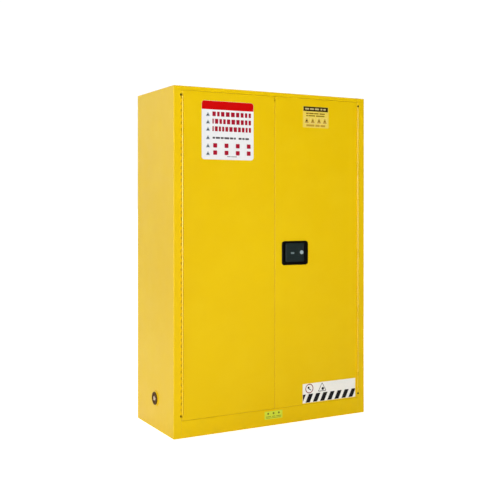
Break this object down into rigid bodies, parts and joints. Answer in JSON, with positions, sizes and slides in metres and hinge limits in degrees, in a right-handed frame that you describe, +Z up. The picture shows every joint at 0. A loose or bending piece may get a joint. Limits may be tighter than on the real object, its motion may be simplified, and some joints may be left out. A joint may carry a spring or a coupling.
{
  "type": "flammable storage cabinet",
  "caption": "Double-walled sheet steel safety cabinet with inset doors on continuous hinges, recessed paddle latch, lift-off shelves, sump, bunged vents and plain sign panels.",
  "frame": {"origin": "on the floor under the middle of the body, halfway between its sides and between its front and back planes", "axes": "+X to the right seen from the front, +Y to the back, +Z up; the doors face -Y"},
  "size_m": [1.104, 0.4802, 1.65],
  "materials": {
    "yellow_paint": "semi-gloss powder coat",
    "galvanised": "galvanised spangle",
    "zinc": "zinc plated",
    "black_plastic": "moulded, fine grain",
    "slate_plastic": "moulded, fine grain",
    "chrome_lock": "polished",
    "inlay": "brushed",
    "spring_steel": "oiled",
    "foot_rubber": "moulded",
    "vent_cap": "moulded",
    "brass": "turned",
    "label_white": "printed vinyl",
    "label_gold": "printed vinyl",
    "label_lime": "printed vinyl"
  },
  "bodies": {
    "carcass": {"side_panel_left": "yellow_paint", "side_panel_right": "yellow_paint", "back_panel": "yellow_paint", "top_panel": "yellow_paint", "header_rail": "yellow_paint", "sill_rail": "yellow_paint", "bottom_panel": "yellow_paint", "inner_side_left": "yellow_paint", "inner_side_right": "yellow_paint", "inner_back": "yellow_paint", "inner_top": "yellow_paint", "sump_pan": "yellow_paint", "standards_left": "galvanised", "standards_right": "galvanised", "shelf_clips_upper": "zinc", "shelf_clips_lower": "zinc", "foot_nuts": "zinc", "left_hinge_frame_leaf": "yellow_paint", "left_hinge_pin": "zinc", "right_hinge_frame_leaf": "yellow_paint", "right_hinge_pin": "zinc", "rod_strikes": "zinc", "vent_collar_left": "yellow_paint", "vent_collar_right": "yellow_paint", "flame_arrestors": "brass", "sill_label": "label_lime", "ground_stud": "brass", "ground_nut": "brass"},
    "upper_shelf": {"upper_shelf": "galvanised"},
    "lower_shelf": {"lower_shelf": "galvanised"},
    "foot_front_left": {"foot_front_left": "zinc"},
    "foot_front_right": {"foot_front_right": "zinc"},
    "foot_rear_left": {"foot_rear_left": "zinc"},
    "foot_rear_right": {"foot_rear_right": "zinc"},
    "left_door": {"left_hinge_door_leaf": "yellow_paint", "left_door_skin": "yellow_paint", "left_door_liner": "yellow_paint", "centre_strike": "zinc", "sign_label": "label_white"},
    "right_door": {"right_hinge_door_leaf": "yellow_paint", "right_door_skin": "yellow_paint", "right_door_liner": "yellow_paint", "handle_housing": "black_plastic", "paddle_pin": "spring_steel", "paddle_spring": "spring_steel", "rotor_pivot": "zinc", "rod_guides": "zinc", "caution_label": "label_gold", "hazard_label": "label_white"},
    "paddle": {"paddle": "slate_plastic", "lock_body": "chrome_lock", "paddle_inlay": "inlay"},
    "lock": {"lock_plug": "chrome_lock", "lock_cam": "zinc"},
    "latch_rotor": {"latch_rotor": "zinc"},
    "top_rod": {"top_rod": "zinc"},
    "bottom_rod": {"bottom_rod": "zinc"},
    "centre_bolt": {"centre_bolt": "zinc"},
    "vent_cap_left": {"vent_cap_left": "vent_cap"},
    "vent_cap_right": {"vent_cap_right": "vent_cap"}
  },
  "joints": [
    {"name": "left_door_hinge", "type": "hinge", "parent": "carcass", "child": "left_door", "pos_m": [-0.5015, -0.2351, 0.858], "axis": [0, 0, -1], "range_deg": [0, 175]},
    {"name": "right_door_hinge", "type": "hinge", "parent": "carcass", "child": "right_door", "pos_m": [0.5015, -0.2351, 0.858], "axis": [0, 0, 1], "range_deg": [0, 175]},
    {"name": "paddle_pull", "type": "hinge", "parent": "right_door", "child": "paddle", "pos_m": [0.16575, -0.22975, 0.8525], "axis": [0, 0, 1], "range_deg": [0, 35], "stiffness_Nm_per_rad": 1},
    {"name": "lock_turn", "type": "hinge", "parent": "paddle", "child": "lock", "pos_m": [0.1545, -0.2335, 0.8528], "axis": [0, -1, 0], "range_deg": [0, 90]},
    {"name": "rotor_turn", "type": "hinge", "parent": "right_door", "child": "latch_rotor", "pos_m": [0.133, -0.1995, 0.847], "axis": [0, 1, 0], "range_deg": [0, 39.1]},
    {"name": "top_rod_slide", "type": "slide", "parent": "right_door", "child": "top_rod", "axis": [0, 0, -1], "range_m": [0, 0.0121]},
    {"name": "bottom_rod_slide", "type": "slide", "parent": "right_door", "child": "bottom_rod", "axis": [0, 0, 1], "range_m": [0, 0.0121]},
    {"name": "centre_bolt_slide", "type": "slide", "parent": "right_door", "child": "centre_bolt", "axis": [1, 0, 0], "range_m": [0, 0.0121]},
    {"name": "upper_shelf_lift", "type": "slide", "parent": "carcass", "child": "upper_shelf", "axis": [0, 0, 1], "range_m": [0, 0.04]},
    {"name": "lower_shelf_lift", "type": "slide", "parent": "carcass", "child": "lower_shelf", "axis": [0, 0, 1], "range_m": [0, 0.04]},
    {"name": "vent_cap_left_unscrew", "type": "slide", "parent": "carcass", "child": "vent_cap_left", "axis": [-1, 0, 0], "range_m": [0, 0.04]},
    {"name": "vent_cap_right_unscrew", "type": "slide", "parent": "carcass", "child": "vent_cap_right", "axis": [1, 0, 0], "range_m": [0, 0.04]},
    {"name": "foot_front_left_adjust", "type": "slide", "parent": "carcass", "child": "foot_front_left", "axis": [0, 0, -1], "range_m": [0, 0.012]},
    {"name": "foot_front_right_adjust", "type": "slide", "parent": "carcass", "child": "foot_front_right", "axis": [0, 0, -1], "range_m": [0, 0.012]},
    {"name": "foot_rear_left_adjust", "type": "slide", "parent": "carcass", "child": "foot_rear_left", "axis": [0, 0, -1], "range_m": [0, 0.012]},
    {"name": "foot_rear_right_adjust", "type": "slide", "parent": "carcass", "child": "foot_rear_right", "axis": [0, 0, -1], "range_m": [0, 0.012]}
  ],
  "couplings": [
    {"joint": "rotor_turn", "follows": "paddle_pull", "ratio": 1.1143},
    {"joint": "top_rod_slide", "follows": "paddle_pull", "m_per_rad": 0.019644},
    {"joint": "bottom_rod_slide", "follows": "paddle_pull", "m_per_rad": 0.019644},
    {"joint": "centre_bolt_slide", "follows": "paddle_pull", "m_per_rad": 0.019644}
  ]
}
